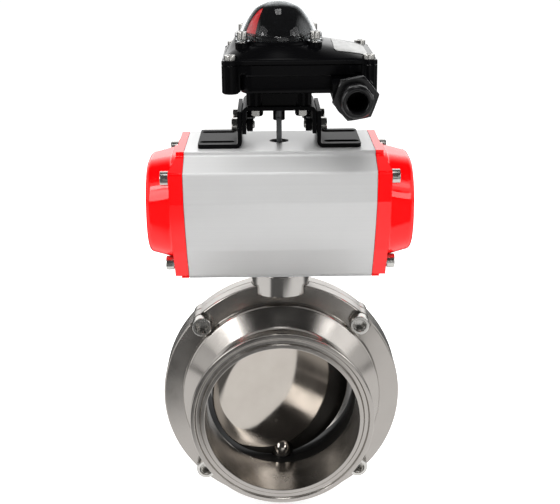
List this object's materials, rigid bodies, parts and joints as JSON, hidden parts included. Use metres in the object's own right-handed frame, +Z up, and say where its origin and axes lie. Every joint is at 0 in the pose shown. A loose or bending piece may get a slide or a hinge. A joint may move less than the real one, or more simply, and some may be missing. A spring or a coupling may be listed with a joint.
{
  "type": "pneumatic butterfly valve",
  "caption": "Hygienic stainless butterfly valve with clamp ferrules, turned by a rack-and-pinion air actuator with red end caps, under a black limit switch box with a clear dome.",
  "frame": {"origin": "where the bore's axis crosses the stem's axis", "axes": "+X along the actuator, +Y along the pipe away from the screw heads, +Z up the stem"},
  "size_m": [0.168, 0.1311, 0.342],
  "materials": {
    "polished_stainless": "polished",
    "screw_steel": "satin",
    "black_rubber": "matte",
    "bush_plastic": "matte",
    "anodised_aluminium": "satin anodised",
    "red_paint": "gloss",
    "black_paint": "semi-gloss",
    "black_plastic": "gloss",
    "clear_plastic": "clear",
    "red_plastic": "gloss"
  },
  "bodies": {
    "frame": {"front_body": "polished_stainless", "rear_body": "polished_stainless", "mounting_sleeve": "polished_stainless", "body_screw_1": "screw_steel", "body_screw_2": "screw_steel", "body_screw_3": "screw_steel", "body_screw_4": "screw_steel", "cap_screw_1": "screw_steel", "cap_screw_2": "screw_steel", "cap_screw_3": "screw_steel", "cap_screw_4": "screw_steel", "cap_screw_5": "screw_steel", "cap_screw_6": "screw_steel", "cap_screw_7": "screw_steel", "cap_screw_8": "screw_steel", "leg_bolt_1": "screw_steel", "leg_bolt_2": "screw_steel", "leg_bolt_3": "screw_steel", "leg_bolt_4": "screw_steel", "box_bolt_1": "screw_steel", "box_bolt_2": "screw_steel", "lid_screw_1": "screw_steel", "lid_screw_2": "screw_steel", "lid_screw_3": "screw_steel", "lid_screw_4": "screw_steel", "dome_screw_1": "screw_steel", "dome_screw_2": "screw_steel", "dome_screw_3": "screw_steel", "dome_screw_4": "screw_steel", "seat_ring": "black_rubber", "upper_stem_bush": "bush_plastic", "lower_stem_bush": "bush_plastic", "upper_pinion_bush": "bush_plastic", "lower_pinion_bush": "bush_plastic", "actuator_body": "anodised_aluminium", "left_end_cap": "red_paint", "right_end_cap": "red_paint", "bracket_bridge": "black_paint", "left_foot": "black_paint", "right_foot": "black_paint", "switch_box_base": "black_paint", "switch_box_lid": "black_paint", "leg_nut_1": "black_paint", "leg_nut_2": "black_paint", "leg_nut_3": "black_paint", "leg_nut_4": "black_paint", "indicator_shroud": "black_plastic", "open_sensor": "black_plastic", "closed_sensor": "black_plastic", "gland_body": "black_plastic", "gland_nut": "black_plastic", "indicator_dome": "clear_plastic"},
    "drive": {"disc_and_stem": "polished_stainless", "pinion": "screw_steel", "switch_shaft": "screw_steel", "upper_cam": "bush_plastic", "lower_cam": "bush_plastic", "indicator_rotor": "red_plastic"},
    "left_piston": {"left_piston": "anodised_aluminium"},
    "right_piston": {"right_piston": "anodised_aluminium"}
  },
  "joints": [
    {"name": "stem_turn", "type": "hinge", "parent": "frame", "child": "drive", "pos_m": [0, 0, 0], "axis": [0, 0, 1], "range_deg": [-18, 72]},
    {"name": "right_piston_slide", "type": "slide", "parent": "frame", "child": "right_piston", "axis": [1, 0, 0], "range_m": [-0.0038, 0.0151]},
    {"name": "left_piston_slide", "type": "slide", "parent": "frame", "child": "left_piston", "axis": [-1, 0, 0], "range_m": [-0.0038, 0.0151]}
  ],
  "couplings": [
    {"joint": "right_piston_slide", "follows": "stem_turn", "m_per_rad": 0.012},
    {"joint": "left_piston_slide", "follows": "stem_turn", "m_per_rad": 0.012}
  ]
}
